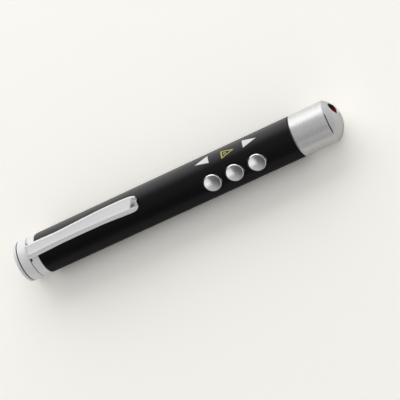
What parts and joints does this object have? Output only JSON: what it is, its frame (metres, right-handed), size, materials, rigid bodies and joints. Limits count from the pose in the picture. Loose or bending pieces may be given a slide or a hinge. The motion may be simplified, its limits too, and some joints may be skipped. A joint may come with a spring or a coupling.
{
  "type": "laser pointer",
  "caption": "Pen-shaped laser pointer: black tube with satin metal nose and tail, sprung pocket clip, dished round keys and an off-centre aperture in a domed nose.",
  "frame": {"origin": "centre of the flat tail face", "axes": "+X along the pen's axis towards the nose, +Z towards the pocket clip; the pen lies on its side with the clip up"},
  "size_m": [0.1348, 0.016, 0.0188],
  "materials": {
    "black_paint": "satin black lacquer",
    "satin_metal": "satin",
    "spring_steel": "satin plated",
    "nickel": "nickel plated",
    "brass": "turned",
    "black_plastic": "moulded",
    "white_plastic": "moulded",
    "board_green": "solder mask",
    "chip_black": "moulded epoxy",
    "ferrite": "pressed ferrite",
    "tantalum": "moulded epoxy",
    "cell_wrap": "plain plastic wrap",
    "red_window": "tinted",
    "clear_lens": "clear",
    "red_insulation": "wire insulation",
    "black_insulation": "wire insulation"
  },
  "bodies": {
    "pen_body": {"barrel": "black_paint", "nose_cap": "satin_metal", "aperture_bezel": "black_plastic", "aperture_window": "red_window", "laser_housing": "brass", "laser_diode": "nickel", "laser_lens": "clear_lens", "lens_spring": "spring_steel", "lens_nut": "brass", "laser_driver_board": "board_green", "laser_lead_positive": "red_insulation", "laser_lead_negative": "black_insulation", "switch_previous": "nickel", "switch_laser": "nickel", "switch_next": "nickel", "button_frame": "black_plastic", "circuit_board": "board_green", "controller_chip": "chip_black", "radio_chip": "chip_black", "boost_chip": "chip_black", "crystal_can": "nickel", "power_inductor": "ferrite", "reservoir_capacitor": "tantalum", "ground_spring": "nickel", "board_carrier": "black_plastic", "positive_contact": "nickel", "battery_lead": "red_insulation", "battery_cell": "cell_wrap", "battery_tube": "white_plastic", "tail_sleeve": "satin_metal", "clip_ring": "spring_steel"},
    "key_previous": {"button_previous": "satin_metal", "plunger_previous": "black_plastic"},
    "key_laser": {"button_laser": "satin_metal", "plunger_laser": "black_plastic"},
    "key_next": {"button_next": "satin_metal", "plunger_next": "black_plastic"},
    "clip": {"clip_arm": "spring_steel"},
    "cap_carriage": {"spring_seat": "nickel", "battery_spring": "spring_steel"},
    "cap": {"tail_cap": "satin_metal", "end_plug": "satin_metal"}
  },
  "joints": [
    {"name": "key_previous_press", "type": "slide", "parent": "pen_body", "child": "key_previous", "axis": [0, 0.6157, -0.788], "range_m": [0, 0.0004], "stiffness_N_per_m": 2000, "springref_m": -0.0002},
    {"name": "key_laser_press", "type": "slide", "parent": "pen_body", "child": "key_laser", "axis": [0, 0.6157, -0.788], "range_m": [0, 0.0004], "stiffness_N_per_m": 2000, "springref_m": -0.0002},
    {"name": "key_next_press", "type": "slide", "parent": "pen_body", "child": "key_next", "axis": [0, 0.6157, -0.788], "range_m": [0, 0.0004], "stiffness_N_per_m": 2000, "springref_m": -0.0002},
    {"name": "clip_flex", "type": "hinge", "parent": "pen_body", "child": "clip", "pos_m": [0.00658, 0, 0.0069], "axis": [0, -1, 0], "range_deg": [0, 4], "stiffness_Nm_per_rad": 3, "springref_deg": -1.72},
    {"name": "tail_cap_advance", "type": "slide", "parent": "pen_body", "child": "cap_carriage", "axis": [-1, 0, 0], "range_m": [0, 0.0051]},
    {"name": "tail_cap_turn", "type": "hinge", "parent": "cap_carriage", "child": "cap", "pos_m": [0, 0, 0], "axis": [-1, 0, 0], "range_deg": [0, 1800]}
  ],
  "couplings": [
    {"joint": "tail_cap_advance", "follows": "tail_cap_turn", "m_per_rad": 0.00015915}
  ]
}
